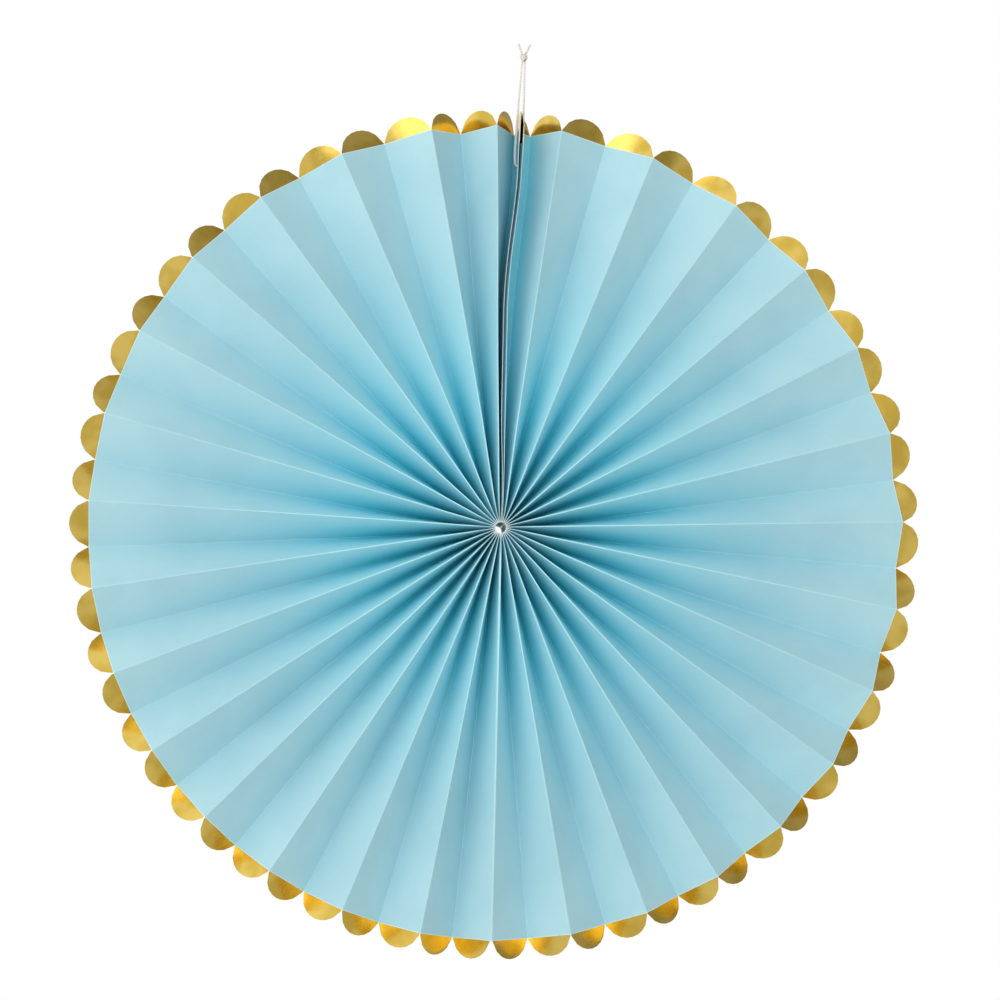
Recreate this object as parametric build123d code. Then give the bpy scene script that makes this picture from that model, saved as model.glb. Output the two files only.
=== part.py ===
from build123d import *
import os
from math import cos, exp, pi, radians, sin, sqrt, tan

# Paper fan rosette: two pleated card strips joined into a full circle, with a scalloped
# foil-card trim glued behind the rim of each. Units are millimetres. The rosette stands in the
# XZ plane with its front towards -Y, and hangs from the origin, the inside top of its loop. It is
# modelled about the plane half way through its hub, and moved into the loop's plane at the end.
# Fold 0 is the seam, straight up. Even folds are ridges (front), odd folds are valleys (back),
# counted clockwise as seen from the front.

# Coloured sheet
sheet_radius = 191.0
panel_width = 25.0
sheet_thickness = 0.16
hub_gap = 0.093             # free space at each panel's inner end, on the hub's circle
crease_gap = 0.03           # between a fold's two flanks at the hub
crease_at_rim = 0.30        # width of the flattened fold
rim_spread = 0.775          # share of a panel's width that shows from the front at the rim
widest_spread = 0.95        # and the most of it that may show at any ridge

# Uneven opening of the pleats at the rim
top_looseness = 0.097       # wider at the top, tighter at the bottom
side_looseness = 0.018
first_pitch = 0.42          # shares of a plain pitch, at the seam and just after the join
last_pitch = 0.26
next_to_last_pitch = 0.70
after_join_pitch = 0.89
opening_length = 12.0       # radius over which the hub's even spacing gives way to the rim's
hub_turn = 2.5              # degrees the hub is turned clockwise against the rim

# Seam: the two end panels are bonded face to face by a tape behind their front edges
tape_width = 10.0
tape_thickness = 0.15
tape_setback = 6.0          # from the panels' front edges
tape_start = 12.0           # radius
tape_end_inset = 23.0       # short of the coloured edge
right_lean = 40.0           # degrees each end panel leans out, from the tape to its valley
left_lean = 5.0
lean_full = 130.0           # radius from which they lean so far
seam_bow = 1.8              # degrees the seam bows left between the hub and its hanging hole
bow_full = 50.0             # radii between which it bows so far
bow_fades = 100.0
bow_end = 170.0
side_bow = 1.0              # degrees the folds on its left bow at the hub
bowed_folds = 3             # how many of them do
seam_lip = 0.75             # how far each front edge springs open
lip_start = 12.0            # radii between which the lip opens
lip_full = 60.0
glue_gap = 0.03

# Join opposite the seam: a flange of the right strip laps over the left strip's first panel
flange_width = 3.5
lap_gap = 0.05
join_crease_at_rim = 0.70

# Foil-card trim
trim_thickness = 0.20
trim_overlap = 8.0          # behind the coloured sheet
scallop_height = 9.0
notch_reach = 0.4           # the trim between two scallops, beyond the coloured edge
trim_end_clearance = 0.6

# Tie thread through the punched inner ends
thread_diameter = 0.5
thread_ring_radius = 7.0
thread_hole_clearance = 0.25

# Hanging loop
cord_diameter = 1.2
cord_hole_diameter = 3.0
cord_hole_inset = 17.0      # below the coloured edge
cord_side = [               # one side of the loop, from the knot down to the hole: across, up
    (0.65, 0.0),
    (1.25, -20.0),
    (1.60, -35.0),
    (1.72, -43.5),
    (1.50, -48.1),
    (1.10, -50.3),
]
cord_bend_share = 0.45      # of the shorter run beside a corner, taken by its arc
loop_rise = 24.0            # inside top of the loop above the scallop tips
knot_diameter = 3.8
knot_height = 4.6
tail_length = 6.0
tail_splay = 24.0           # degrees
tail_start = 0.7            # of the knot's height
knot_fullness = 1.25        # height of the knot's ball, cut flat to the knot's own height

# Derived
pleats = round(pi * sheet_radius / (panel_width * rim_spread))
folds = 2 * pleats
hub_radius = folds * (sheet_thickness + hub_gap) / (2 * pi)
crease_at_hub = sheet_thickness + crease_gap
join_crease_at_hub = 2 * (sheet_thickness + lap_gap)
join_fold = 2 * (pleats // 2)
tip_radius = sheet_radius + scallop_height
hub_z = -(tip_radius + loop_rise)
hub = Vector(0, 0, hub_z)
hole_radius = sheet_radius - cord_hole_inset
tape_end = sheet_radius - tape_end_inset
layer_offset = (sheet_thickness + trim_thickness) / 2 + glue_gap
band_at_tape = (tape_thickness + sheet_thickness) / 2 + glue_gap
band_at_rim = sheet_thickness / 2 + glue_gap + trim_thickness + glue_gap
INNER_STATIONS = 28         # radii at which a strip is worked out, from the hub to its trim
TRIM_STATIONS = 5           # and from there to the rim
CROWDING = 1.6              # how much closer the stations lie towards the hub
ARC_STEPS = 8
TANGENT_STEP = 0.05


def smooth(value, low, high):
    """0 up to low, 1 from high, and an even S between them."""
    share = min(max((value - low) / (high - low), 0), 1)
    return share * share * (3 - 2 * share)


def rim_angles():
    """The angle of every fold at the rim, clockwise from the seam."""
    weights = []
    for pitch in range(pleats):
        middle = 2 * pi * (pitch + 0.5) / pleats
        weights.append(1 + top_looseness * cos(middle) + side_looseness * sin(2 * middle))
    weights[0] *= first_pitch
    weights[-1] *= last_pitch
    weights[-2] *= next_to_last_pitch
    weights[join_fold // 2] *= after_join_pitch
    angles = [0.0]
    for weight in weights:
        half = pi * weight / sum(weights)
        angles += [angles[-1] + half, angles[-1] + 2 * half]
    return angles


RIM_ANGLES = rim_angles()


def opened(radius):
    """How far the spacing has gone from even, at the hub, to the rim's own."""
    return 1 - exp((hub_radius - radius) / opening_length)


def crease(fold, radius):
    share = opened(radius)
    if fold == join_fold:
        return join_crease_at_hub + share * (join_crease_at_rim - join_crease_at_hub)
    return crease_at_hub + share * (crease_at_rim - crease_at_hub)


def band_offset(radius):
    """From the seam's plane to the middle of each end panel along the taped band."""
    share = smooth(radius, tape_end, sheet_radius - trim_overlap)
    return band_at_tape + (band_at_rim - band_at_tape) * share


def free_width(radius):
    """What is left of an end panel behind the tape."""
    return panel_width - tape_setback - tape_width - crease(1, radius) / 2


def seam_bow_angle(radius):
    rising = smooth(radius, hub_radius, bow_full)
    return -radians(seam_bow) * rising * (1 - smooth(radius, bow_fades, bow_end))


def side_bow_angle(radius):
    return -radians(side_bow) * (1 - smooth(radius, hub_radius, hole_radius))


def seam_valley_offset(lean, radius):
    """From the seam to its valley: the end panels lie almost flat together."""
    leaning = radians(lean) * smooth(radius, hub_radius, lean_full)
    return band_offset(radius) + free_width(radius) * sin(leaning) + crease(1, radius) / 2


def plain_angle(fold, radius):
    """Evenly spaced at the hub, and at the rim's own angle further out."""
    even = 2 * pi * fold / folds + radians(hub_turn)
    return even + opened(radius) * (RIM_ANGLES[fold] - even)


def fold_angle(fold, radius):
    if fold == 1:
        return fold_angle(0, radius) + seam_valley_offset(right_lean, radius) / radius
    if fold == folds - 1:
        return fold_angle(folds, radius) - seam_valley_offset(left_lean, radius) / radius
    if fold in (0, folds):
        return plain_angle(fold, radius) + seam_bow_angle(radius)
    if fold >= folds - bowed_folds:
        return plain_angle(fold, radius) + side_bow_angle(radius)
    return plain_angle(fold, radius)


def outward(angle):
    return Vector(sin(angle), 0, cos(angle))


def clockwise(angle):
    return Vector(cos(angle), 0, -sin(angle))


def chord(fold_a, fold_b, radius):
    turn = fold_angle(fold_b, radius) - fold_angle(fold_a, radius)
    return 2 * radius * sin(turn / 2)


def panel_depth(fold_a, fold_b, radius):
    """Depth from front to back of the panel between two folds, which keeps its full width."""
    flat = crease(1, radius)
    across = chord(fold_a, fold_b, radius) - flat
    return sqrt((panel_width - flat) ** 2 - across ** 2)


def ridge_y(radius):
    """All ridges share one depth, so that the rosette's front is even."""
    across = 2 * radius * sin(pi / folds)
    return -sqrt(panel_width ** 2 - min(across, panel_width * widest_spread) ** 2) / 2


def fold_y(fold, radius):
    if fold % 2 == 0:
        return ridge_y(radius)
    if fold == 1:
        return ridge_y(radius) + panel_depth(1, 2, radius)
    return ridge_y(radius) + panel_depth(fold - 1, fold, radius)


def place(fold, radius, along, y):
    """A point at a fold, moved along the clockwise direction, at depth y."""
    angle = fold_angle(fold, radius)
    return hub + outward(angle) * radius + clockwise(angle) * along + Vector(0, y, 0)


def creased(fold, radius):
    """The two points of an ordinary flattened fold, each with its place across its panel."""
    half = crease(fold, radius) / 2
    y = fold_y(fold, radius)
    return [(place(fold, radius, -half, y), 1.0), (place(fold, radius, half, y), 0.0)]


def seam_end(fold, side, radius):
    """The end panel at the seam, from its front edge: lip, taped band, then back to its valley."""
    valley = fold + side
    band = band_offset(radius)
    lip = seam_lip * smooth(radius, lip_start, lip_full)
    across = chord(min(fold, valley), max(fold, valley), radius) - crease(valley, radius) / 2 - band
    y_back = fold_y(valley, radius) - sqrt(free_width(radius) ** 2 - across ** 2)
    y_front = y_back - tape_width
    y_edge = y_front - sqrt(tape_setback ** 2 - lip ** 2)
    return [
        (place(fold, radius, side * (band + lip), y_edge), 0.0),
        (place(fold, radius, side * band, y_front), tape_setback / panel_width),
        (place(fold, radius, side * band, y_back), (tape_setback + tape_width) / panel_width),
    ]


def flank_direction(fold, radius):
    """From the join's ridge down the left strip's first panel."""
    start = place(fold, radius, crease(fold, radius) / 2, fold_y(fold, radius))
    end = place(fold + 1, radius, -crease(fold + 1, radius) / 2, fold_y(fold + 1, radius))
    return start, (end - start).normalized()


def flange_end(radius):
    """The right strip's last ridge and the flange folded over it."""
    start, down = flank_direction(join_fold, radius)
    before = creased(join_fold, radius)[0]
    return [before, (start, 0.0), (start + down * flange_width, flange_width / panel_width)]


def lapped_end(radius):
    """The left strip's free edge, tucked behind the flange."""
    start, down = flank_direction(join_fold, radius)
    front = down.cross(outward(fold_angle(join_fold, radius))).normalized()
    tucked = down * (sheet_thickness + lap_gap) - front * (sheet_thickness + lap_gap)
    return [(start + tucked, 0.0)]


def right_section(radius):
    points = seam_end(0, 1, radius)
    for fold in range(1, join_fold):
        points += creased(fold, radius)
    return points + flange_end(radius)


def left_section(radius):
    points = lapped_end(radius)
    for fold in range(join_fold + 1, folds):
        points += creased(fold, radius)
    seam = [(point, 1 - share) for point, share in reversed(seam_end(folds, -1, radius))]
    return points + seam


def right_trim_section(radius):
    """As the right strip, ending on its last panel just short of the ridge."""
    points = right_section(radius)[:-2]
    end, before = points[-1][0], points[-2][0]
    back = (before - end).normalized() * trim_end_clearance
    return points[:-1] + [(end + back, 1.0)]


def left_trim_section(radius):
    points = left_section(radius)
    start, after = points[0][0], points[1][0]
    on = (after - start).normalized() * trim_end_clearance
    return [(start + on, 0.0)] + points[1:]


def shifted(points, distance):
    """A section's points moved towards the front by distance, mitred at each bend."""
    normals = []
    for (start, _), (end, _) in zip(points, points[1:]):
        radial = (start + end) * 0.5 - hub
        radial = Vector(radial.X, 0, radial.Z)
        normals.append((end - start).cross(radial).normalized())
    moved = []
    for index, (point, _) in enumerate(points):
        first = normals[max(index - 1, 0)]
        second = normals[min(index, len(normals) - 1)]
        mitre = (first + second) / (1 + first.dot(second))
        moved.append(point + mitre * distance)
    return moved


def ruled(edge_a, edge_b):
    return Face.make_surface_from_curves(edge_a, edge_b)


def long_edges(section, radii, distance):
    """One smooth edge from the inner to the outer radius at every point of the section."""
    nearby = [radii[0], radii[0] + TANGENT_STEP, radii[-1] - TANGENT_STEP, radii[-1]]
    tangent_rows = [shifted(section(radius), distance) for radius in nearby]
    columns = zip(*[shifted(section(radius), distance) for radius in radii])
    edges = []
    for column, (first, second, third, last) in zip(columns, zip(*tangent_rows)):
        edges.append(Edge.make_spline(list(column), tangents=[second - first, last - third]))
    return edges


def scallop_reach(share):
    """How far the trim stands beyond the coloured edge, at a share of the panel's width."""
    half = panel_width / 2
    height = scallop_height - notch_reach
    arc_radius = (half ** 2 + height ** 2) / (2 * height)
    across = (share - 0.5) * panel_width
    return sqrt(arc_radius ** 2 - across ** 2) - (arc_radius - height) + notch_reach


def beyond(side_a, side_b, share_a, share_b, local):
    """A point on the trim's outer edge, a local share of the way from side a to side b."""
    start = (side_a @ 1) + ((side_b @ 1) - (side_a @ 1)) * local
    ahead = (side_a % 1) + ((side_b % 1) - (side_a % 1)) * local
    share = share_a + (share_b - share_a) * local
    reach = scallop_reach(share) if share_b > share_a else notch_reach
    return start + ahead * reach


def trim_edge(side_a, side_b, share_a, share_b):
    """The outer edge of the trim: an arc across a panel, or straight across a crease."""
    steps = ARC_STEPS if share_b > share_a else 1
    points = [beyond(side_a, side_b, share_a, share_b, step / steps) for step in range(steps + 1)]
    return Edge.make_spline(points) if steps > 1 else Edge.make_line(*points)


def strip_solid(section, radii, middle, thickness, scalloped=False):
    """A pleated strip as one solid: its front, back, inner and outer edges and two ends."""
    shares = [share for _, share in section(radii[0])]
    layers = [long_edges(section, radii, middle + side * thickness / 2) for side in (1, -1)]
    faces = []
    for index in range(len(shares) - 1):
        inner, outer = [], []
        for layer in layers:
            side_a, side_b = layer[index], layer[index + 1]
            inner.append(Edge.make_line(side_a @ 0, side_b @ 0))
            outer.append(Edge.make_line(side_a @ 1, side_b @ 1))
            faces.append(ruled(side_a, side_b))
            if scalloped:
                rim = outer.pop()
                outer.append(trim_edge(side_a, side_b, shares[index], shares[index + 1]))
                faces.append(ruled(rim, outer[-1]))
        faces.append(ruled(*inner))
        faces.append(ruled(*outer))
    for index in (0, -1):
        ends = [layer[index] for layer in layers]
        faces.append(ruled(*ends))
        if scalloped:
            reach = [Edge.make_line(end @ 1, (end @ 1) + (end % 1) * notch_reach) for end in ends]
            faces.append(ruled(*reach))
    return Solid(Shell(Face.sew_faces(faces)[0]))


def trim_radii():
    steps = [1 - step / (TRIM_STATIONS - 1) for step in range(TRIM_STATIONS)]
    return [sheet_radius - trim_overlap * step for step in steps]


def sheet_radii():
    span = sheet_radius - trim_overlap - hub_radius
    inner = [hub_radius + span * (step / INNER_STATIONS) ** CROWDING for step in range(INNER_STATIONS)]
    return inner + trim_radii()


def ring(radius, diameter):
    """A thread or a bore that circles the hub, half way between front and back."""
    return Pos(hub) * Rot(90, 0, 0) * Torus(radius, diameter / 2)


def seam_middle_y():
    """Middle of the bonded band at the hanging hole, from the hub's own middle plane."""
    band = seam_end(0, 1, hole_radius)
    return (band[1][0].Y + band[2][0].Y) / 2


def cord_bore():
    """The hanging hole, across the seam's two bonded panels only."""
    centre = place(0, hole_radius, 0, seam_middle_y())
    return Pos(centre) * Rot(0, 90, 0) * Cylinder(cord_hole_diameter / 2, 4 * cord_diameter)


def tape_section(radius):
    """The tape lies in the seam's own plane, over the bonded band."""
    band = seam_end(0, 1, radius)
    front, back = band[1][0].Y, band[2][0].Y
    return [(place(0, radius, 0, front), 0.0), (place(0, radius, 0, back), 1.0)]


def cord_route():
    """From the knot down one side of the seam, through the hole and up the other side."""
    y = seam_middle_y()
    down = [Vector(-x, y, z) for x, z in cord_side]
    up = [Vector(x, y, z) for x, z in reversed(cord_side)]
    return down + up


def corner_radii(route):
    """The radius of the arc at each corner of the route."""
    radii = []
    for before, corner, after in zip(route, route[1:], route[2:]):
        run_in, run_out = corner - before, after - corner
        turn = radians(run_in.get_angle(run_out))
        radii.append(cord_bend_share * min(run_in.length, run_out.length) / tan(turn / 2))
    return radii


def hanging_cord():
    route = cord_route()
    radii = corner_radii(route)
    path = FilletPolyline(*route, radius=radii)
    start = Plane(origin=route[0], z_dir=route[1] - route[0])
    tube = sweep(start * Circle(cord_diameter / 2), path=path)
    print("cord radii", [round(radius, 1) for radius in radii])
    print("cord length", round(path.length, 1))
    straight = pi * cord_diameter ** 2 / 4 * path.length
    print("tube volume over section times length", tube.volume / straight)
    return tube


def cord_knot(cord):
    """The knot that closes the loop, flat below where the cord's two ends enter, with two tails."""
    y = seam_middle_y()
    proportions = (knot_diameter, knot_diameter, knot_height * knot_fullness)
    ball = Pos(0, y, knot_height / 2) * scale(Sphere(0.5), by=proportions)
    slab = Pos(0, y, knot_height / 2) * Box(2 * knot_diameter, 2 * knot_diameter, knot_height)
    knot = ball & slab
    for side in (-1, 1):
        tail = Cylinder(cord_diameter / 2, tail_length, align=(Align.CENTER, Align.CENTER, Align.MIN))
        knot += Pos(0, y, knot_height * tail_start) * Rot(0, side * tail_splay, 0) * tail
    return knot - cord


def main():
    os.makedirs("parts", exist_ok=True)
    full = sheet_radii()
    rim = trim_radii()
    between = [radius for radius in full if tape_start < radius < tape_end]
    tape = [tape_start, *between, tape_end]
    thread_bore = ring(thread_ring_radius, thread_diameter + thread_hole_clearance)
    right = strip_solid(right_section, full, 0, sheet_thickness)
    left = strip_solid(left_section, full, 0, sheet_thickness)
    cord = hanging_cord()
    nodes = {
        "pleated_strip_right": right - thread_bore - cord_bore(),
        "pleated_strip_left": left - thread_bore - cord_bore(),
        "gold_trim_right": strip_solid(right_trim_section, rim, -layer_offset, trim_thickness, True),
        "gold_trim_left": strip_solid(left_trim_section, rim, -layer_offset, trim_thickness, True),
        "seam_tape": strip_solid(tape_section, tape, 0, tape_thickness),
        "tie_thread": ring(thread_ring_radius, thread_diameter),
        "hanging_loop": cord,
        "loop_knot": cord_knot(cord),
    }
    to_loop = Pos(0, -seam_middle_y(), 0)
    for name, shape in nodes.items():
        print(name, len(shape.solids()), shape.is_valid, round(shape.volume, 1))
        export_step(to_loop * shape, f"parts/{name}.step")


main()
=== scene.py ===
from math import cos, exp, pi, radians, sin, sqrt, tau

import bpy
from mathutils import Matrix, Vector, noise


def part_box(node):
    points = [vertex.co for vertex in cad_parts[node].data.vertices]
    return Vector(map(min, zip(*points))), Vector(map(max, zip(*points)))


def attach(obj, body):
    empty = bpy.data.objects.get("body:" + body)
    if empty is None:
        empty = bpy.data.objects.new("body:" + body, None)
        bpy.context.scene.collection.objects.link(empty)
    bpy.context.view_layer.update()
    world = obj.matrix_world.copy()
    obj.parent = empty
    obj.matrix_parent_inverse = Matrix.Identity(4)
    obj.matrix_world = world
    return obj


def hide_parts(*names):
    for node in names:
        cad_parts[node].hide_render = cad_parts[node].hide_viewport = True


# A hanging paper fan rosette: two pleated sky-blue strips, each with a scalloped gold trim behind
# its rim, on a looped cord. Metres. The front faces -Y. Fold 0 is the seam, straight up. Even folds
# are ridges, odd folds are valleys, and they are counted clockwise as seen from the front.

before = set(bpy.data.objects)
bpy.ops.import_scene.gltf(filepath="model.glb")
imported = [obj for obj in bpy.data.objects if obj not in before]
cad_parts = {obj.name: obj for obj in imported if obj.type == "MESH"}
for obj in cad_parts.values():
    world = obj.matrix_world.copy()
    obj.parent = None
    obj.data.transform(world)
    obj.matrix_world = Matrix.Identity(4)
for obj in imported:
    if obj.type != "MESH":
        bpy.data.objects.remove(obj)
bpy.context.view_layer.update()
thread_low, thread_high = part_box("tie_thread")
HUB = (Vector(thread_low) + Vector(thread_high)) / 2

# Coloured sheet
SHEET_RADIUS = 0.191
PANEL_WIDTH = 0.025
WIDEST_SPREAD = 0.95        # the most of a panel's width that may show at a ridge
SHEET_THICKNESS = 0.00016
PLEATS = 31
FOLDS = 2 * PLEATS
JOIN_FOLD = 30
HUB_GAP = 0.000093          # free space at each panel's inner end
HUB_RADIUS = FOLDS * (SHEET_THICKNESS + HUB_GAP) / tau
CREASE_AT_HUB = 0.00019
CREASE_AT_RIM = 0.0003
JOIN_CREASE_AT_HUB = 0.00042
JOIN_CREASE_AT_RIM = 0.0007

# Uneven opening of the pleats
TOP_LOOSENESS = 0.097
SIDE_LOOSENESS = 0.018
FIRST_PITCH = 0.42
LAST_PITCH = 0.26
NEXT_TO_LAST_PITCH = 0.70
AFTER_JOIN_PITCH = 0.89
OPENING_LENGTH = 0.012
HUB_TURN = radians(2.5)

# Seam
TAPE_WIDTH = 0.010
TAPE_SETBACK = 0.006
TAPE_END = 0.168            # radius
RIGHT_LEAN = radians(40)
LEFT_LEAN = radians(5)
LEAN_FULL = 0.130
SEAM_BOW = radians(1.8)
BOW_FULL = 0.050
BOW_FADES = 0.100
BOW_END = 0.170
SIDE_BOW = radians(1.0)
BOWED_FOLDS = 3
HOLE_RADIUS = 0.174
SEAM_LIP = 0.00075
LIP_START = 0.012
LIP_FULL = 0.060
BAND_AT_TAPE = 0.000185
BAND_AT_RIM = 0.00034

# Join opposite the seam
FLANGE_WIDTH = 0.0035
LAP_GAP = 0.00005

# Gold trim
TRIM_THICKNESS = 0.0002
TRIM_OVERLAP = 0.008
GLUE_GAP = 0.00003
TRIM_OFFSET = (SHEET_THICKNESS + TRIM_THICKNESS) / 2 + GLUE_GAP
SCALLOP_HEIGHT = 0.009
NOTCH_REACH = 0.0004
TRIM_END_CLEARANCE = 0.0006

# Mesh
ACROSS = 8                  # steps across a panel
SHEET_STEPS = 76            # steps from hub to rim
TRIM_STEPS = 8              # steps from the trim's inner edge to the sheet's rim
SCALLOP_STEPS = 5           # and from there to the tip of a scallop
CROWDING = 1.5              # the steps lie closer towards the hub
BOW = 0.00042               # how far a panel bows out of flat
RIPPLE = 0.00010
SLOW_ALONG, SLOW_OUT = 3.7, 0.075       # how quickly the bow changes, per panel and outwards
QUICK_ALONG, QUICK_OUT = 1.9, 0.021     # and the ripple
CALM_UP_TO, LIVELY_FROM = 0.035, 0.120  # radii between which they come in
SHARP_ANGLE = radians(20)

# Cord, route points as in the CAD model
CORD_DIAMETER = 0.0012
CORD_SIDE = [
    (0.00065, 0.0),
    (0.00125, -0.0200),
    (0.00160, -0.0350),
    (0.00172, -0.0435),
    (0.00150, -0.0481),
    (0.00110, -0.0503),
]
STRANDS = 3
STRAND_TURN = 0.0042        # length of cord in which a strand goes once round
STRAND_SIDES = 7
KNOT_RADIUS = 0.00128
KNOT_HEIGHT = 0.0046
KNOT_CORD_DIAMETER = 0.98 * CORD_DIAMETER
KNOT_TURNS = 1.5            # each end goes round so often inside the knot
KNOT_STEPS = 60
KNOT_START = 0.16           # share of its height at which the winding starts
KNOT_CLIMB = 0.62           # and the share it climbs
KNOT_WAVE = 0.0004          # how far it sways up and down on the way
KNOT_CLOSING = 0.55         # how much of its radius is gone where the tails leave
TAIL_LENGTH = 0.0060
TAIL_SEEN = 0.9             # share of a tail that stands clear of the knot
TAIL_STEPS = 12
TAIL_SPLAY = radians(24)

# Where the card's colour and its painted light and shade change, as radii
INNER_FULL = 0.040
RIM_FULL = 0.160
VALLEY_FULL = 0.030
VALLEY_ENDS = 0.105
HUB_FULL = 0.0065
HUB_ENDS = 0.0160
HUB_RING = 0.0060
# Radii between which the ridge lines' wear and painted highlight weaken
WORN_AND_HIGHLIGHT_INNER = 0.020
WORN_AND_HIGHLIGHT_OUTER = 0.150
WORN_RIM = 0.0006           # width of the paler rim
NOISE_LOW, NOISE_HIGH = 0.35, 0.65      # range over which noise blends two colours

# Colours, linear
CARD_RIM = (0.372, 0.640, 0.730)
CARD_RIM_LIGHT = (0.400, 0.668, 0.752)
# Painted bounced light: the card is brighter and deeper blue towards the hub
CARD_INNER_PAINTED_BOUNCE = (0.365, 0.765, 0.880)
# Painted shade: deep teal down in the valleys
CARD_VALLEY_PAINTED_SHADE = (0.080, 0.720, 0.860)
CARD_FIBRE = (0.430, 0.730, 0.810)
# Pale for the ridge lines, partly wear and partly painted highlight, and for the worn rim edge
CARD_WORN_AND_HIGHLIGHT = (0.660, 0.870, 0.920)
GOLD = (0.57, 0.41, 0.07)
GOLD_LIGHT = (0.71, 0.54, 0.13)
GOLD_WORN = (0.95, 0.84, 0.55)
HUB_PALE = (0.700, 0.800, 0.810)
HUB_DUSKY = (0.270, 0.520, 0.620)
HUB_VALLEY = (0.450, 0.850, 0.950)

# View
CAMERA_FROM_HUB = Vector((-0.136, -1.550, -0.143))
AIM_FROM_HUB = Vector((0, 0, 0.014))
CAMERA_LENS = 120
CAMERA_ROLL = radians(3.1)
FLOOR_Z = -0.80
FLOOR_SIZE = 8
BRIGHT_SIDE = (-1, 0, 0)
DIM_LEVEL = 0.42            # the world's strength away from the bright side
DIM_UP_TO = -0.75           # cosines to the bright side between which it rises
BRIGHT_LEVEL = 1.20
BRIGHT_FROM = 0.70
LIGHT_COLOUR = (1.0, 0.955, 0.925)


# ---------------------------------------------------------------- camera and cord route

def make_camera():
    """Looks at the front from slightly left and below, with the part a little askew."""
    data = bpy.data.cameras.new("camera")
    data.lens = CAMERA_LENS
    camera = bpy.data.objects.new("camera", data)
    bpy.context.collection.objects.link(camera)
    place_at = Matrix.Translation(HUB + CAMERA_FROM_HUB)
    look = (AIM_FROM_HUB - CAMERA_FROM_HUB).to_track_quat("-Z", "Y").to_matrix().to_4x4()
    camera.matrix_world = place_at @ look @ Matrix.Rotation(CAMERA_ROLL, 4, "Z")
    bpy.context.scene.camera = camera


def cord_route():
    down = [Vector((-x, 0, z)) for x, z in CORD_SIDE]
    up = [Vector((x, 0, z)) for x, z in reversed(CORD_SIDE)]
    return down + up


def spline_points(route):
    """The smooth line that has the route as its control points."""
    curve = bpy.data.curves.new("route", "CURVE")
    curve.dimensions = "3D"
    curve.resolution_u = 24
    spline = curve.splines.new("NURBS")
    spline.points.add(len(route) - 1)
    for point, place in zip(spline.points, route):
        point.co = (*place, 1)
    spline.order_u = 3
    spline.use_endpoint_u = True
    holder = bpy.data.objects.new("route", curve)
    line = bpy.data.meshes.new_from_object(holder)
    places = [vertex.co.copy() for vertex in line.vertices]
    bpy.data.objects.remove(holder)
    bpy.data.meshes.remove(line)
    return places


# ---------------------------------------------------------------- shape of the pleats

def smooth(value, low, high):
    """0 up to low, 1 from high, and an even S between them."""
    share = min(max((value - low) / (high - low), 0), 1)
    return share * share * (3 - 2 * share)


def rim_angles():
    """The angle of every fold at the rim, clockwise from the seam."""
    weights = []
    for pitch in range(PLEATS):
        middle = tau * (pitch + 0.5) / PLEATS
        weights.append(1 + TOP_LOOSENESS * cos(middle) + SIDE_LOOSENESS * sin(2 * middle))
    weights[0] *= FIRST_PITCH
    weights[-1] *= LAST_PITCH
    weights[-2] *= NEXT_TO_LAST_PITCH
    weights[JOIN_FOLD // 2] *= AFTER_JOIN_PITCH
    angles = [0.0]
    for weight in weights:
        half = pi * weight / sum(weights)
        angles += [angles[-1] + half, angles[-1] + 2 * half]
    return angles


RIM_ANGLES = rim_angles()


def opened(radius):
    """How far the spacing has gone from even, at the hub, to the rim's own."""
    return 1 - exp((HUB_RADIUS - radius) / OPENING_LENGTH)


def crease(fold, radius):
    share = opened(radius)
    if fold == JOIN_FOLD:
        return JOIN_CREASE_AT_HUB + share * (JOIN_CREASE_AT_RIM - JOIN_CREASE_AT_HUB)
    return CREASE_AT_HUB + share * (CREASE_AT_RIM - CREASE_AT_HUB)


def band_offset(radius):
    """From the seam's plane to the middle of each end panel along the taped band."""
    share = smooth(radius, TAPE_END, SHEET_RADIUS - TRIM_OVERLAP)
    return BAND_AT_TAPE + (BAND_AT_RIM - BAND_AT_TAPE) * share


def free_width(radius):
    """What is left of an end panel behind the tape."""
    return PANEL_WIDTH - TAPE_SETBACK - TAPE_WIDTH - crease(1, radius) / 2


def seam_bow_angle(radius):
    """The seam bows left between the hub and its hanging hole."""
    rising = smooth(radius, HUB_RADIUS, BOW_FULL)
    return -SEAM_BOW * rising * (1 - smooth(radius, BOW_FADES, BOW_END))


def side_bow_angle(radius):
    return -SIDE_BOW * (1 - smooth(radius, HUB_RADIUS, HOLE_RADIUS))


def seam_valley_offset(lean, radius):
    """From the seam to its valley: the end panels lie almost flat together."""
    leaning = lean * smooth(radius, HUB_RADIUS, LEAN_FULL)
    return band_offset(radius) + free_width(radius) * sin(leaning) + crease(1, radius) / 2


def plain_angle(fold, radius):
    """Evenly spaced at the hub, and at the rim's own angle further out."""
    even = tau * fold / FOLDS + HUB_TURN
    return even + opened(radius) * (RIM_ANGLES[fold] - even)


def fold_angle(fold, radius):
    if fold == 1:
        return fold_angle(0, radius) + seam_valley_offset(RIGHT_LEAN, radius) / radius
    if fold == FOLDS - 1:
        return fold_angle(FOLDS, radius) - seam_valley_offset(LEFT_LEAN, radius) / radius
    if fold in (0, FOLDS):
        return plain_angle(fold, radius) + seam_bow_angle(radius)
    if fold >= FOLDS - BOWED_FOLDS:
        return plain_angle(fold, radius) + side_bow_angle(radius)
    return plain_angle(fold, radius)


def outward(angle):
    return Vector((sin(angle), 0, cos(angle)))


def clockwise(angle):
    return Vector((cos(angle), 0, -sin(angle)))


def chord(fold_a, fold_b, radius):
    turn = fold_angle(fold_b, radius) - fold_angle(fold_a, radius)
    return 2 * radius * sin(turn / 2)


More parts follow.
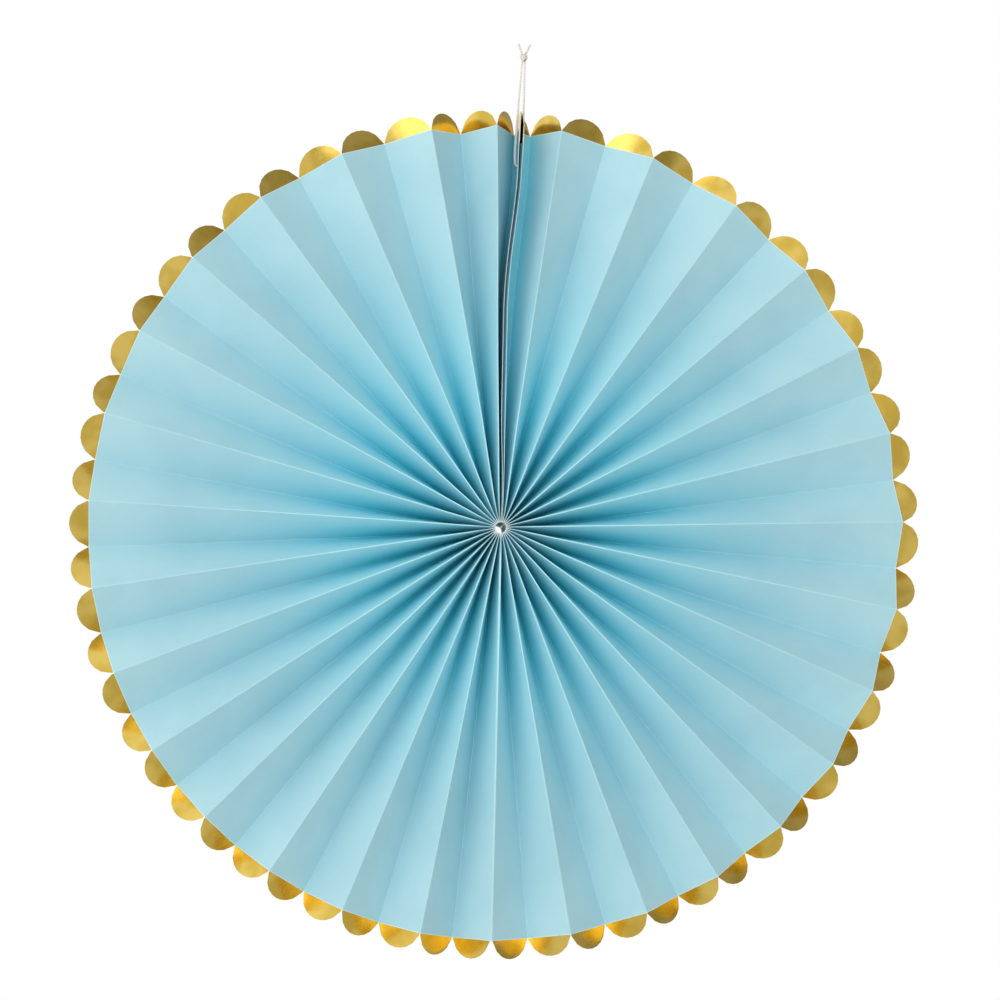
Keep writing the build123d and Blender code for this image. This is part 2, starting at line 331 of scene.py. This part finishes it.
def panel_depth(fold_a, fold_b, radius):
    """Depth from front to back of the panel between two folds, which keeps its full width."""
    flat = crease(1, radius)
    across = chord(fold_a, fold_b, radius) - flat
    return sqrt((PANEL_WIDTH - flat) ** 2 - across ** 2)


def ridge_y(radius):
    """All ridges share one depth, so that the rosette's front is even."""
    across = 2 * radius * sin(pi / FOLDS)
    return -sqrt(PANEL_WIDTH ** 2 - min(across, PANEL_WIDTH * WIDEST_SPREAD) ** 2) / 2


def fold_y(fold, radius):
    if fold % 2 == 0:
        return ridge_y(radius)
    if fold == 1:
        return ridge_y(radius) + panel_depth(1, 2, radius)
    return ridge_y(radius) + panel_depth(fold - 1, fold, radius)


def place(fold, radius, along, y):
    """A point at a fold, moved along the clockwise direction, at depth y."""
    angle = fold_angle(fold, radius)
    return HUB + outward(angle) * radius + clockwise(angle) * along + Vector((0, y, 0))


def creased(fold, radius):
    """The two points of an ordinary flattened fold, each with its place across its panel."""
    half = crease(fold, radius) / 2
    y = fold_y(fold, radius)
    return [(place(fold, radius, -half, y), 1.0), (place(fold, radius, half, y), 0.0)]


def seam_end(fold, side, radius):
    """The end panel at the seam, from its front edge: lip, taped band, then back to its valley."""
    valley = fold + side
    band = band_offset(radius)
    lip = SEAM_LIP * smooth(radius, LIP_START, LIP_FULL)
    across = chord(min(fold, valley), max(fold, valley), radius) - crease(valley, radius) / 2 - band
    y_back = fold_y(valley, radius) - sqrt(free_width(radius) ** 2 - across ** 2)
    y_front = y_back - TAPE_WIDTH
    y_edge = y_front - sqrt(TAPE_SETBACK ** 2 - lip ** 2)
    return [
        (place(fold, radius, side * (band + lip), y_edge), 0.0),
        (place(fold, radius, side * band, y_front), TAPE_SETBACK / PANEL_WIDTH),
        (place(fold, radius, side * band, y_back), (TAPE_SETBACK + TAPE_WIDTH) / PANEL_WIDTH),
    ]


def flank_direction(fold, radius):
    """From the join's ridge down the left strip's first panel."""
    start = place(fold, radius, crease(fold, radius) / 2, fold_y(fold, radius))
    end = place(fold + 1, radius, -crease(fold + 1, radius) / 2, fold_y(fold + 1, radius))
    return start, (end - start).normalized()


def flange_end(radius):
    """The right strip's last ridge and the flange folded over it."""
    start, down = flank_direction(JOIN_FOLD, radius)
    before = creased(JOIN_FOLD, radius)[0]
    return [before, (start, 0.0), (start + down * FLANGE_WIDTH, FLANGE_WIDTH / PANEL_WIDTH)]


def lapped_end(radius):
    """The left strip's free edge, tucked behind the flange."""
    start, down = flank_direction(JOIN_FOLD, radius)
    front = down.cross(outward(fold_angle(JOIN_FOLD, radius))).normalized()
    tucked = (down - front) * (SHEET_THICKNESS + LAP_GAP)
    return [(start + tucked, 0.0)]


def right_section(radius):
    points = seam_end(0, 1, radius)
    for fold in range(1, JOIN_FOLD):
        points += creased(fold, radius)
    return points + flange_end(radius)


def left_section(radius):
    points = lapped_end(radius)
    for fold in range(JOIN_FOLD + 1, FOLDS):
        points += creased(fold, radius)
    return points + [(point, 1 - share) for point, share in reversed(seam_end(FOLDS, -1, radius))]


def right_trim_section(radius):
    points = right_section(radius)[:-2]
    end, before = points[-1][0], points[-2][0]
    back = (before - end).normalized() * TRIM_END_CLEARANCE
    return points[:-1] + [(end + back, 1.0)]


def left_trim_section(radius):
    points = left_section(radius)
    start, after = points[0][0], points[1][0]
    on = (after - start).normalized() * TRIM_END_CLEARANCE
    return [(start + on, 0.0)] + points[1:]


def normal_between(start, end):
    radial = (start + end) * 0.5 - HUB
    radial.y = 0
    return (end - start).cross(radial).normalized()


def finer(section, radius, first_fold):
    """The section with its panels divided, and slightly bowed and rippled.

    Each point comes with its place along the flat strip, in panels.
    """
    points = section(radius)
    calm = smooth(radius, CALM_UP_TO, LIVELY_FROM)
    panel = first_fold
    rows = []
    for (start, share_a), (end, share_b) in zip(points, points[1:]):
        if share_b < share_a:
            panel += 1
            rows.append((start, float(panel)))
            continue
        steps = max(1, round(ACROSS * (share_b - share_a)))
        normal = normal_between(start, end)
        whole = share_b - share_a > 0.5
        for step in range(steps):
            share = share_a + (share_b - share_a) * step / steps
            point = start.lerp(end, step / steps)
            if whole:
                slow = noise.noise(Vector((panel * SLOW_ALONG, radius / SLOW_OUT, 0.3)))
                quick = noise.noise(Vector(((panel + share) * QUICK_ALONG, radius / QUICK_OUT, 7.1)))
                point += normal * calm * sin(pi * share) * (BOW * slow + RIPPLE * quick)
            rows.append((point, panel + share))
    end, share = points[-1]
    rows.append((end, panel + share))
    return rows


def mitred(rows):
    """Front-facing mitre vectors of unit offset for every point of a finer section."""
    normals = [normal_between(a[0], b[0]) for a, b in zip(rows, rows[1:])]
    mitres = []
    for index in range(len(rows)):
        first = normals[max(index - 1, 0)]
        second = normals[min(index, len(normals) - 1)]
        mitres.append((first + second) / (1 + first.dot(second)))
    return mitres


def scallop_reach(share):
    """How far the trim stands beyond the coloured edge, at a share of the panel's width."""
    half = PANEL_WIDTH / 2
    height = SCALLOP_HEIGHT - NOTCH_REACH
    arc_radius = (half ** 2 + height ** 2) / (2 * height)
    across = (share - 0.5) * PANEL_WIDTH
    return sqrt(arc_radius ** 2 - across ** 2) - (arc_radius - height) + NOTCH_REACH


# ---------------------------------------------------------------- strips as meshes

def strip_layers(section, radii, first_fold, middle, thickness):
    """Front and back points, and each point's place along the strip, at every radius."""
    layers = []
    for radius in radii:
        rows = finer(section, radius, first_fold)
        mitres = mitred(rows)
        front = [row[0] + mitre * (middle + thickness / 2) for row, mitre in zip(rows, mitres)]
        back = [row[0] + mitre * (middle - thickness / 2) for row, mitre in zip(rows, mitres)]
        layers.append((front, back, [along for _, along in rows]))
    return layers


def add_scallops(layers):
    """Carries the last radius on to the scallops' outline, along the panels' own slope."""
    (front_a, back_a, _), (front_b, back_b, alongs) = layers[-2:]
    for step in range(1, SCALLOP_STEPS + 1):
        rings = []
        for before, last in ((front_a, front_b), (back_a, back_b)):
            ring = []
            for first, second, along in zip(before, last, alongs):
                share = along - int(along)
                reach = NOTCH_REACH if along == int(along) else scallop_reach(share)
                ring.append(second + (second - first).normalized() * reach * step / SCALLOP_STEPS)
            rings.append(ring)
        layers.append((rings[0], rings[1], alongs))


def strip_object(name, layers, radii, materials):
    """A closed strip: front, back and the cut edges, with the flat strip as its UV map.

    The first material is for the faces and the second for the cut edges.
    """
    count = len(layers[0][0])
    verts = []
    for front, back, _ in layers:
        verts += front + back
    faces = []

    def vertex(ring, side, index):
        return ring * 2 * count + side * count + index

    for ring in range(len(layers) - 1):
        for index in range(count - 1):
            a, b = vertex(ring, 0, index), vertex(ring, 0, index + 1)
            c, d = vertex(ring + 1, 0, index + 1), vertex(ring + 1, 0, index)
            faces.append((a, b, c, d))
            faces.append((a + count, d + count, c + count, b + count))
    edges_from = len(faces)
    last = len(layers) - 1
    for index in range(count - 1):
        for ring, flip in ((0, False), (last, True)):
            quad = [vertex(ring, 0, index), vertex(ring, 1, index)]
            quad += [vertex(ring, 1, index + 1), vertex(ring, 0, index + 1)]
            faces.append(tuple(reversed(quad)) if flip else tuple(quad))
    for ring in range(last):
        for index, flip in ((0, True), (count - 1, False)):
            quad = [vertex(ring, 0, index), vertex(ring, 1, index)]
            quad += [vertex(ring + 1, 1, index), vertex(ring + 1, 0, index)]
            faces.append(tuple(reversed(quad)) if flip else tuple(quad))
    mesh = bpy.data.meshes.new(name)
    mesh.from_pydata(verts, [], faces)
    for number, polygon in enumerate(mesh.polygons):
        polygon.use_smooth = number < edges_from
        polygon.material_index = 0 if number < edges_from else 1
    uv = mesh.uv_layers.new(name="flat")
    for loop in mesh.loops:
        ring, rest = divmod(loop.vertex_index, 2 * count)
        along = layers[ring][2][rest % count]
        uv.data[loop.index].uv = (along / FOLDS, radii[ring])
    for material in materials:
        mesh.materials.append(material)
    mesh.set_sharp_from_angle(angle=SHARP_ANGLE)
    mesh.validate()
    piece = bpy.data.objects.new(name, mesh)
    bpy.context.collection.objects.link(piece)
    return piece


def finish_piece(piece, node):
    """Puts a piece on the one body, in place of its CAD node."""
    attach(piece, "root")
    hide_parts(node)


def make_strips(blue, blue_edge, gold, gold_edge):
    span = SHEET_RADIUS - HUB_RADIUS
    sheet_steps = [step / SHEET_STEPS for step in range(SHEET_STEPS + 1)]
    sheet_radii = [HUB_RADIUS + span * share ** CROWDING for share in sheet_steps]
    trim_steps = [1 - step / TRIM_STEPS for step in range(TRIM_STEPS + 1)]
    trim_radii = [SHEET_RADIUS - TRIM_OVERLAP * share for share in trim_steps]
    scallop_steps = range(1, SCALLOP_STEPS + 1)
    scallop_radii = [SHEET_RADIUS + SCALLOP_HEIGHT * step / SCALLOP_STEPS for step in scallop_steps]
    halves = [
        ("right", right_section, right_trim_section, 0),
        ("left", left_section, left_trim_section, JOIN_FOLD),
    ]
    for side, sheet_section, trim_section, first_fold in halves:
        layers = strip_layers(sheet_section, sheet_radii, first_fold, 0, SHEET_THICKNESS)
        sheet = strip_object(f"blue_strip_{side}", layers, sheet_radii, [blue, blue_edge])
        finish_piece(sheet, f"pleated_strip_{side}")
        layers = strip_layers(trim_section, trim_radii, first_fold, -TRIM_OFFSET, TRIM_THICKNESS)
        add_scallops(layers)
        trim = strip_object(f"scalloped_trim_{side}", layers, trim_radii + scallop_radii, [gold, gold_edge])
        finish_piece(trim, f"gold_trim_{side}")


# ---------------------------------------------------------------- cord and knot

def frames_along(path):
    """Two vectors across a path at each of its points, carried along it without twisting."""
    tangents = [(b - a).normalized() for a, b in zip(path, path[1:])]
    tangents.append(tangents[-1])
    side = tangents[0].orthogonal().normalized()
    frames = []
    for tangent in tangents:
        side = (side - tangent * side.dot(tangent)).normalized()
        frames.append((side, tangent.cross(side)))
    return frames


def twisted_mesh(paths, diameter):
    """Vertices and faces of a twisted cord along each path, of separate strands."""
    sides = STRAND_SIDES
    strand_radius = diameter / 2 / (1 + 2 / sqrt(3))
    lay_radius = diameter / 2 - strand_radius
    verts, faces = [], []
    for path in paths:
        frames = frames_along(path)
        for strand in range(STRANDS):
            travelled = 0.0
            base = len(verts)
            for index, (point, (side, other)) in enumerate(zip(path, frames)):
                if index:
                    travelled += (point - path[index - 1]).length
                angle = tau * (travelled / STRAND_TURN + strand / STRANDS)
                centre = point + (side * cos(angle) + other * sin(angle)) * lay_radius
                for step in range(sides):
                    around = tau * step / sides
                    verts.append(centre + (side * cos(around) + other * sin(around)) * strand_radius)
            for ring in range(len(path) - 1):
                for step in range(sides):
                    a = base + ring * sides + step
                    b = base + ring * sides + (step + 1) % sides
                    faces.append((a, b, b + sides, a + sides))
            faces.append(tuple(base + step for step in reversed(range(sides))))
            end = base + (len(path) - 1) * sides
            faces.append(tuple(end + step for step in range(sides)))
    return verts, faces


def thread_object(name, verts, faces, material):
    """A smooth-shaded object of the given mesh."""
    mesh = bpy.data.meshes.new(name)
    mesh.from_pydata(verts, [], faces)
    for polygon in mesh.polygons:
        polygon.use_smooth = True
    mesh.materials.append(material)
    mesh.validate()
    piece = bpy.data.objects.new(name, mesh)
    bpy.context.collection.objects.link(piece)
    return piece


def knot_paths():
    """Both ends of the loop wind round each other and leave upwards as two tails."""
    paths = []
    for side in (-1, 1):
        path = []
        for step in range(KNOT_STEPS + 1):
            share = step / KNOT_STEPS
            angle = side * pi / 2 + tau * KNOT_TURNS * share
            height = KNOT_HEIGHT * (KNOT_START + KNOT_CLIMB * share) + KNOT_WAVE * sin(angle * 2)
            opening = smooth(share, -0.25, 0.25)
            closing = 1 - KNOT_CLOSING * smooth(share, 0.8, 1.05)
            reach = KNOT_RADIUS * opening * closing
            path.append(Vector((sin(angle) * reach, -cos(angle) * reach, height)))
        end = path[-1]
        splay = Vector((-side * sin(TAIL_SPLAY), 0, cos(TAIL_SPLAY)))
        for step in range(1, TAIL_STEPS + 1):
            path.append(end + splay * TAIL_LENGTH * TAIL_SEEN * step / TAIL_STEPS)
        paths.append(path)
    return paths


def make_cord(material):
    path = spline_points(cord_route())
    verts, faces = twisted_mesh([path], CORD_DIAMETER)
    cord = thread_object("looped_cord", verts, faces, material)
    verts, faces = twisted_mesh(knot_paths(), KNOT_CORD_DIAMETER)
    knot = thread_object("cord_knot", verts, faces, material)
    finish_piece(cord, "hanging_loop")
    finish_piece(knot, "loop_knot")


# ---------------------------------------------------------------- materials

class Nodes:
    """A material's node tree, with short calls to add and join nodes."""

    def __init__(self, name, roughness, metallic=0.0):
        self.material = bpy.data.materials.new(name)
        self.material.use_nodes = True
        self.tree = self.material.node_tree
        self.shader = self.tree.nodes["Principled BSDF"]
        self.shader.inputs["Roughness"].default_value = roughness
        self.shader.inputs["Metallic"].default_value = metallic

    def add(self, kind, inputs=None, **settings):
        node = self.tree.nodes.new(kind)
        for key, value in settings.items():
            setattr(node, key, value)
        for key, value in (inputs or {}).items():
            if isinstance(value, bpy.types.NodeSocket):
                self.tree.links.new(value, node.inputs[key])
            else:
                node.inputs[key].default_value = value
        return node

    def math(self, operation, first, second=0.0):
        return self.add("ShaderNodeMath", {0: first, 1: second}, operation=operation).outputs[0]

    def noise(self, vector, scale, detail=3.0, roughness=0.5):
        values = {"Vector": vector, "Scale": scale, "Detail": detail, "Roughness": roughness}
        return self.add("ShaderNodeTexNoise", values).outputs[0]

    def remap(self, value, low, high, to_low=0.0, to_high=1.0):
        """Carries low..high over to to_low..to_high, easing at both ends."""
        values = {"Value": value, 1: low, 2: high, 3: to_low, 4: to_high}
        return self.add("ShaderNodeMapRange", values, interpolation_type="SMOOTHSTEP").outputs[0]

    def mix(self, factor, first, second):
        """From the first colour to the second, each given as a socket or as three numbers."""
        node = self.add("ShaderNodeMix", {0: factor}, data_type="RGBA")
        for index, value in ((6, first), (7, second)):
            if isinstance(value, bpy.types.NodeSocket):
                self.tree.links.new(value, node.inputs[index])
            else:
                node.inputs[index].default_value = (*value, 1)
        return node.outputs[2]

    def blend(self, value, first, second):
        """Two colours, mixed in patches by noise."""
        return self.mix(self.remap(value, NOISE_LOW, NOISE_HIGH), first, second)

    def position(self, scale=(1, 1, 1)):
        source = self.add("ShaderNodeTexCoord").outputs["Object"]
        return self.add("ShaderNodeMapping", {"Vector": source, "Scale": scale}).outputs[0]

    def flat_strip(self):
        """Distance along the strip in panels, and the radius in metres."""
        source = self.add("ShaderNodeUVMap", uv_map="flat").outputs[0]
        split = self.add("ShaderNodeSeparateXYZ", {0: source})
        return self.math("MULTIPLY", split.outputs[0], FOLDS), split.outputs[1]

    def colour(self, value):
        self.tree.links.new(value, self.shader.inputs["Base Color"])

    def rough(self, value):
        self.tree.links.new(value, self.shader.inputs["Roughness"])

    def bump(self, height, strength, distance):
        node = self.add("ShaderNodeBump", {"Height": height, "Strength": strength, "Distance": distance})
        self.tree.links.new(node.outputs[0], self.shader.inputs["Normal"])


def ridge_distance(nodes, panels):
    """Distance to the nearest ridge, in metres on the flat strip."""
    return nodes.math("MULTIPLY", nodes.math("PINGPONG", panels, 1.0), PANEL_WIDTH)


def blue_card():
    """Pale at the rim, brighter and deeper blue further in as painted bounced light, and deep teal down in
    the valleys near the hub as painted shade.
    """
    nodes = Nodes("blue_card", 0.62)
    panels, radius = nodes.flat_strip()
    from_ridge = ridge_distance(nodes, panels)
    position = nodes.position()
    cloud = nodes.noise(position, 38.0, 4.0)
    fibre = nodes.noise(nodes.position((1, 1, 2.6)), 900.0, 3.0)
    speck = nodes.noise(position, 2600.0, 2.0)
    base = nodes.blend(cloud, CARD_RIM, CARD_RIM_LIGHT)
    # Painted bounced light: brighter, deeper blue towards the hub
    base = nodes.mix(nodes.remap(radius, INNER_FULL, RIM_FULL, 1.0, 0.0), base, CARD_INNER_PAINTED_BOUNCE)
    # Painted shade: the valleys are deeper in colour near the hub, and all the way out beside the seam
    by_hub = nodes.remap(radius, VALLEY_FULL, VALLEY_ENDS, 1.0, 0.0)
    from_seam = nodes.math("MINIMUM", panels, nodes.math("SUBTRACT", FOLDS, panels))
    by_seam = nodes.remap(from_seam, 0.9, 1.8, 0.45, 0.0)
    shaded = nodes.math("MAXIMUM", by_hub, by_seam)
    deep = nodes.math("MULTIPLY", nodes.remap(from_ridge, 0.005, 0.024), shaded)
    base = nodes.mix(deep, base, CARD_VALLEY_PAINTED_SHADE)
    base = nodes.mix(nodes.remap(fibre, 0.45, 0.75, 0, 0.3), base, CARD_FIBRE)
    # Fold lines are paler, partly where the colour has cracked or worn and partly as a painted highlight
    # along the ridges; the rim's edge is paler where it has worn
    wear = nodes.remap(nodes.noise(position, 260.0, 3.0), 0.30, 0.60, 0.35, 1.0)
    width = nodes.remap(radius, 0.015, 0.060, 0.0009, 0.0004)
    line = nodes.remap(from_ridge, 0.00012, width, 1.0, 0.0)
    strength = nodes.remap(radius, WORN_AND_HIGHLIGHT_INNER, WORN_AND_HIGHLIGHT_OUTER, 0.16, 0.08)
    worn_and_highlight = nodes.math("MULTIPLY", nodes.math("MULTIPLY", line, wear), strength)
    base = nodes.mix(worn_and_highlight, base, CARD_WORN_AND_HIGHLIGHT)
    edge = nodes.remap(radius, SHEET_RADIUS - WORN_RIM, SHEET_RADIUS, 0.0, 0.7)
    base = nodes.mix(edge, base, CARD_WORN_AND_HIGHLIGHT)
    # Handled and dusty round the hub
    # Pale right at the hub, darker a little further out, and lighter down the valleys there
    hub = nodes.remap(radius, HUB_FULL, HUB_ENDS, 1.0, 0.0)
    top = nodes.mix(nodes.remap(radius, HUB_RADIUS, HUB_RING), HUB_PALE, HUB_DUSKY)
    side = nodes.mix(nodes.remap(from_ridge, 0.0003, 0.0020), top, HUB_VALLEY)
    nodes.colour(nodes.mix(hub, base, side))
    nodes.rough(nodes.remap(fibre, 0.3, 0.7, 0.56, 0.68))
    height = nodes.math("ADD", nodes.math("MULTIPLY", fibre, 0.7), nodes.math("MULTIPLY", speck, 0.3))
    nodes.bump(height, 0.22, 0.0001)
    nodes.shader.inputs["Specular IOR Level"].default_value = 0.35
    return nodes.material


def cut_edge(name, first, second):
    """The paper's cut edge, paler than its face, with fibres showing."""
    nodes = Nodes(name, 0.85)
    fibre = nodes.noise(nodes.position(), 3000.0, 3.0)
    nodes.colour(nodes.blend(fibre, first, second))
    nodes.bump(fibre, 0.4, 0.00005)
    return nodes.material


def gold_foil():
    """Bright smooth foil with a slow waviness, and paler where it is folded."""
    nodes = Nodes("gold_foil", 0.20, metallic=1.0)
    panels, _ = nodes.flat_strip()
    position = nodes.position()
    cloud = nodes.noise(position, 70.0, 2.0)
    fine = nodes.noise(position, 700.0, 3.0)
    base = nodes.blend(cloud, GOLD, GOLD_LIGHT)
    line = nodes.remap(ridge_distance(nodes, panels), 0.00010, 0.00045, 1.0, 0.0)
    nodes.colour(nodes.mix(nodes.math("MULTIPLY", line, 0.5), base, GOLD_WORN))
    nodes.rough(nodes.remap(fine, 0.35, 0.65, 0.15, 0.22))
    nodes.bump(nodes.math("ADD", cloud, nodes.math("MULTIPLY", fine, 0.02)), 0.18, 0.0006)
    return nodes.material


def twisted_thread(name, pale, shade):
    """Spun fibre: fine lengthways hairs and a soft sheen."""
    nodes = Nodes(name, 0.86)
    hairs = nodes.noise(nodes.position((1, 1, 0.3)), 5200.0, 4.0)
    soft = nodes.noise(nodes.position(), 700.0, 2.0)
    base = nodes.blend(hairs, shade, pale)
    nodes.colour(nodes.mix(nodes.remap(soft, 0.4, 0.7, 0, 0.3), base, shade))
    nodes.bump(hairs, 0.6, 0.0001)
    nodes.shader.inputs["Sheen Weight"].default_value = 0.25
    nodes.shader.inputs["Sheen Roughness"].default_value = 0.5
    return nodes.material


def clear_tape():
    """Double-sided tape, milky with adhesive."""
    nodes = Nodes("clear_tape", 0.35)
    adhesive = nodes.noise(nodes.position(), 520.0, 3.0)
    nodes.colour(nodes.blend(adhesive, (0.70, 0.70, 0.64), (0.80, 0.80, 0.75)))
    nodes.rough(nodes.remap(adhesive, 0.35, 0.65, 0.25, 0.5))
    nodes.bump(adhesive, 0.25, 0.0001)
    return nodes.material


def pale_floor():
    """A plain, slightly uneven pale floor."""
    nodes = Nodes("pale_floor", 0.75)
    grain = nodes.noise(nodes.position(), 60.0, 4.0)
    nodes.colour(nodes.mix(nodes.remap(grain, 0.3, 0.7), (0.86, 0.86, 0.86), (0.89, 0.89, 0.89)))
    return nodes.material


def dress_node(node, material):
    """Gives a CAD node that stays as it is its own material."""
    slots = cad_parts[node].data.materials
    slots.clear()
    slots.append(material)


# ---------------------------------------------------------------- stage and light

def make_stage():
    bpy.ops.mesh.primitive_plane_add(size=FLOOR_SIZE, location=(0, 0, FLOOR_Z))
    floor = bpy.context.active_object
    floor.name = "floor"
    floor.data.materials.append(pale_floor())


def make_world():
    """A soft studio: bright on the left, dim on the right, and plain white to look at."""
    world = bpy.data.worlds.new("soft_studio")
    world.use_nodes = True
    tree = world.node_tree
    direction = tree.nodes.new("ShaderNodeTexCoord").outputs["Generated"]
    towards = tree.nodes.new("ShaderNodeVectorMath")
    towards.operation = "DOT_PRODUCT"
    towards.inputs[1].default_value = Vector(BRIGHT_SIDE).normalized()
    tree.links.new(direction, towards.inputs[0])
    level = tree.nodes.new("ShaderNodeMapRange")
    level.interpolation_type = "SMOOTHSTEP"
    for index, value in enumerate((DIM_UP_TO, BRIGHT_FROM, DIM_LEVEL, BRIGHT_LEVEL), start=1):
        level.inputs[index].default_value = value
    tree.links.new(towards.outputs["Value"], level.inputs[0])
    seen = tree.nodes.new("ShaderNodeLightPath").outputs["Is Camera Ray"]
    # The camera sees plain white, and the light on the part is tinted and uneven
    background = tree.nodes["Background"]
    strength = tree.nodes.new("ShaderNodeMix")
    tree.links.new(seen, strength.inputs[0])
    tree.links.new(level.outputs[0], strength.inputs[2])
    strength.inputs[3].default_value = 1.0
    tree.links.new(strength.outputs[0], background.inputs["Strength"])
    tint = tree.nodes.new("ShaderNodeMix")
    tint.data_type = "RGBA"
    tree.links.new(seen, tint.inputs[0])
    tint.inputs[6].default_value = (*LIGHT_COLOUR, 1)
    tint.inputs[7].default_value = (1, 1, 1, 1)
    tree.links.new(tint.outputs[2], background.inputs["Color"])
    bpy.context.scene.world = world


def area_light(name, from_hub, size, power):
    data = bpy.data.lights.new(name, "AREA")
    data.size = size
    data.energy = power
    data.color = LIGHT_COLOUR
    light = bpy.data.objects.new(name, data)
    bpy.context.collection.objects.link(light)
    light.location = HUB + Vector(from_hub)
    light.rotation_euler = (-Vector(from_hub)).to_track_quat("-Z", "Y").to_euler()


# ---------------------------------------------------------------- the scene

make_camera()
make_cord(twisted_thread("white_cord", (0.86, 0.85, 0.81), (0.66, 0.64, 0.58)))
make_strips(
    blue_card(),
    cut_edge("blue_card_edge", (0.62, 0.80, 0.84), (0.80, 0.89, 0.90)),
    gold_foil(),
    cut_edge("gold_card_edge", (0.78, 0.66, 0.40), (0.88, 0.80, 0.60)),
)
dress_node("seam_tape", clear_tape())
dress_node("tie_thread", twisted_thread("white_thread", (0.84, 0.83, 0.80), (0.62, 0.60, 0.56)))
make_stage()
make_world()
area_light("key", from_hub=(-1.5, -1.5, 0.3), size=1.2, power=4)
area_light("fill", from_hub=(-0.2, -2.3, 0.2), size=1.6, power=15)
bpy.context.scene.view_settings.view_transform = "Standard"
